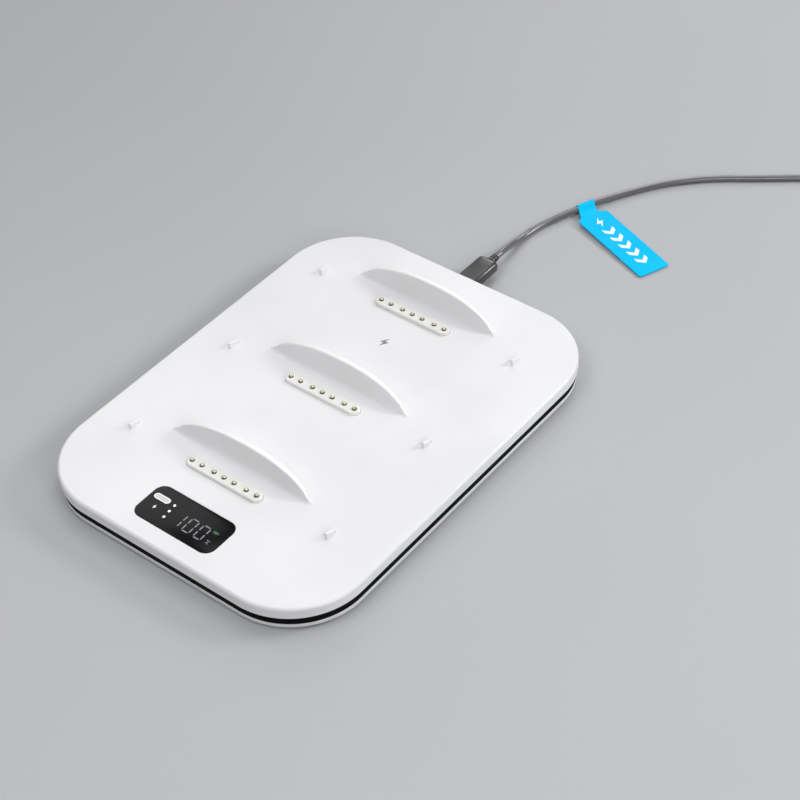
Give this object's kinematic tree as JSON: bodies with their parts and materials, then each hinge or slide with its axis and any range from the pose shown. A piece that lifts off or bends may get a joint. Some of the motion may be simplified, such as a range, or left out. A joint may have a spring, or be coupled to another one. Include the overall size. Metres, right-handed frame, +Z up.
{
  "type": "battery charging dock",
  "caption": "Flat white charging dock for headset battery packs, with sprung contacts, fins, a small display and a USB-C lead.",
  "frame": {"origin": "centre of the plate on the table, under the feet", "axes": "+Z up, -Y towards the display edge, +Y towards the USB-C socket"},
  "size_m": [0.2137, 0.377, 0.0222],
  "materials": {
    "cover_white": "satin white",
    "band_black": "matt black",
    "base_grey": "satin pale grey",
    "lens_black": "polished smoked black",
    "inner_black": "matt",
    "led": "clear",
    "board_green": "solder mask",
    "screw_steel": "zinc plated",
    "flex_amber": "polyimide film",
    "magnet": "nickel plated",
    "chip_black": "matt moulded",
    "port_steel": "nickel plated",
    "foot_rubber": "matt",
    "grip_grey": "satin charcoal",
    "cord_grey": "smooth matt jacket",
    "tag_blue": "bright cyan blue film",
    "strip_cream": "satin cream",
    "pin_brass": "gold plated",
    "spring_steel": "drawn wire"
  },
  "bodies": {
    "dock": {"top_cover": "cover_white", "mid_band": "band_black", "base_cover": "base_grey", "port_bezel": "band_black", "display_window": "lens_black", "light_mask": "inner_black", "digit_module": "inner_black", "status_leds": "led", "display_board": "board_green", "display_screws": "screw_steel", "flex_cable": "flex_amber", "contact_strip_1": "strip_cream", "contact_strip_2": "strip_cream", "contact_strip_3": "strip_cream", "pin_barrels_1": "pin_brass", "pin_barrels_2": "pin_brass", "pin_barrels_3": "pin_brass", "pin_springs_1": "spring_steel", "pin_springs_2": "spring_steel", "pin_springs_3": "spring_steel", "magnets": "magnet", "main_board": "board_green", "board_parts": "chip_black", "board_screws": "screw_steel", "usb_receptacle": "port_steel", "usb_tongue": "inner_black", "base_screws": "screw_steel", "rubber_feet": "foot_rubber"},
    "bay1_pin1": {"bay1_pin1": "pin_brass"},
    "bay1_pin2": {"bay1_pin2": "pin_brass"},
    "bay1_pin3": {"bay1_pin3": "pin_brass"},
    "bay1_pin4": {"bay1_pin4": "pin_brass"},
    "bay1_pin5": {"bay1_pin5": "pin_brass"},
    "bay1_pin6": {"bay1_pin6": "pin_brass"},
    "bay1_pin7": {"bay1_pin7": "pin_brass"},
    "bay2_pin1": {"bay2_pin1": "pin_brass"},
    "bay2_pin2": {"bay2_pin2": "pin_brass"},
    "bay2_pin3": {"bay2_pin3": "pin_brass"},
    "bay2_pin4": {"bay2_pin4": "pin_brass"},
    "bay2_pin5": {"bay2_pin5": "pin_brass"},
    "bay2_pin6": {"bay2_pin6": "pin_brass"},
    "bay2_pin7": {"bay2_pin7": "pin_brass"},
    "bay3_pin1": {"bay3_pin1": "pin_brass"},
    "bay3_pin2": {"bay3_pin2": "pin_brass"},
    "bay3_pin3": {"bay3_pin3": "pin_brass"},
    "bay3_pin4": {"bay3_pin4": "pin_brass"},
    "bay3_pin5": {"bay3_pin5": "pin_brass"},
    "bay3_pin6": {"bay3_pin6": "pin_brass"},
    "bay3_pin7": {"bay3_pin7": "pin_brass"},
    "lead": {"near_plug_body": "grip_grey", "near_plug_shell": "port_steel", "cord_tube": "cord_grey", "cord_coil": "cord_grey", "cord_tail": "cord_grey", "far_plug_body": "grip_grey", "far_plug_shell": "port_steel", "cable_tag": "tag_blue"}
  },
  "joints": [
    {"name": "bay1_pin1_press", "type": "slide", "parent": "dock", "child": "bay1_pin1", "axis": [0, 0, 1], "range_m": [-0.0009, 0], "stiffness_N_per_m": 60, "springref_m": 0.004},
    {"name": "bay1_pin2_press", "type": "slide", "parent": "dock", "child": "bay1_pin2", "axis": [0, 0, 1], "range_m": [-0.0009, 0], "stiffness_N_per_m": 60, "springref_m": 0.004},
    {"name": "bay1_pin3_press", "type": "slide", "parent": "dock", "child": "bay1_pin3", "axis": [0, 0, 1], "range_m": [-0.0009, 0], "stiffness_N_per_m": 60, "springref_m": 0.004},
    {"name": "bay1_pin4_press", "type": "slide", "parent": "dock", "child": "bay1_pin4", "axis": [0, 0, 1], "range_m": [-0.0009, 0], "stiffness_N_per_m": 60, "springref_m": 0.004, "deforming": ["pin_springs_1"]},
    {"name": "bay1_pin5_press", "type": "slide", "parent": "dock", "child": "bay1_pin5", "axis": [0, 0, 1], "range_m": [-0.0009, 0], "stiffness_N_per_m": 60, "springref_m": 0.004},
    {"name": "bay1_pin6_press", "type": "slide", "parent": "dock", "child": "bay1_pin6", "axis": [0, 0, 1], "range_m": [-0.0009, 0], "stiffness_N_per_m": 60, "springref_m": 0.004},
    {"name": "bay1_pin7_press", "type": "slide", "parent": "dock", "child": "bay1_pin7", "axis": [0, 0, 1], "range_m": [-0.0009, 0], "stiffness_N_per_m": 60, "springref_m": 0.004},
    {"name": "bay2_pin1_press", "type": "slide", "parent": "dock", "child": "bay2_pin1", "axis": [0, 0, 1], "range_m": [-0.0009, 0], "stiffness_N_per_m": 60, "springref_m": 0.004},
    {"name": "bay2_pin2_press", "type": "slide", "parent": "dock", "child": "bay2_pin2", "axis": [0, 0, 1], "range_m": [-0.0009, 0], "stiffness_N_per_m": 60, "springref_m": 0.004},
    {"name": "bay2_pin3_press", "type": "slide", "parent": "dock", "child": "bay2_pin3", "axis": [0, 0, 1], "range_m": [-0.0009, 0], "stiffness_N_per_m": 60, "springref_m": 0.004},
    {"name": "bay2_pin4_press", "type": "slide", "parent": "dock", "child": "bay2_pin4", "axis": [0, 0, 1], "range_m": [-0.0009, 0], "stiffness_N_per_m": 60, "springref_m": 0.004, "deforming": ["pin_springs_2"]},
    {"name": "bay2_pin5_press", "type": "slide", "parent": "dock", "child": "bay2_pin5", "axis": [0, 0, 1], "range_m": [-0.0009, 0], "stiffness_N_per_m": 60, "springref_m": 0.004},
    {"name": "bay2_pin6_press", "type": "slide", "parent": "dock", "child": "bay2_pin6", "axis": [0, 0, 1], "range_m": [-0.0009, 0], "stiffness_N_per_m": 60, "springref_m": 0.004},
    {"name": "bay2_pin7_press", "type": "slide", "parent": "dock", "child": "bay2_pin7", "axis": [0, 0, 1], "range_m": [-0.0009, 0], "stiffness_N_per_m": 60, "springref_m": 0.004},
    {"name": "bay3_pin1_press", "type": "slide", "parent": "dock", "child": "bay3_pin1", "axis": [0, 0, 1], "range_m": [-0.0009, 0], "stiffness_N_per_m": 60, "springref_m": 0.004},
    {"name": "bay3_pin2_press", "type": "slide", "parent": "dock", "child": "bay3_pin2", "axis": [0, 0, 1], "range_m": [-0.0009, 0], "stiffness_N_per_m": 60, "springref_m": 0.004},
    {"name": "bay3_pin3_press", "type": "slide", "parent": "dock", "child": "bay3_pin3", "axis": [0, 0, 1], "range_m": [-0.0009, 0], "stiffness_N_per_m": 60, "springref_m": 0.004},
    {"name": "bay3_pin4_press", "type": "slide", "parent": "dock", "child": "bay3_pin4", "axis": [0, 0, 1], "range_m": [-0.0009, 0], "stiffness_N_per_m": 60, "springref_m": 0.004, "deforming": ["pin_springs_3"]},
    {"name": "bay3_pin5_press", "type": "slide", "parent": "dock", "child": "bay3_pin5", "axis": [0, 0, 1], "range_m": [-0.0009, 0], "stiffness_N_per_m": 60, "springref_m": 0.004},
    {"name": "bay3_pin6_press", "type": "slide", "parent": "dock", "child": "bay3_pin6", "axis": [0, 0, 1], "range_m": [-0.0009, 0], "stiffness_N_per_m": 60, "springref_m": 0.004},
    {"name": "bay3_pin7_press", "type": "slide", "parent": "dock", "child": "bay3_pin7", "axis": [0, 0, 1], "range_m": [-0.0009, 0], "stiffness_N_per_m": 60, "springref_m": 0.004},
    {"name": "plug_slide", "type": "slide", "parent": "dock", "child": "lead", "axis": [0, 1, 0], "range_m": [0, 0.008]}
  ]
}
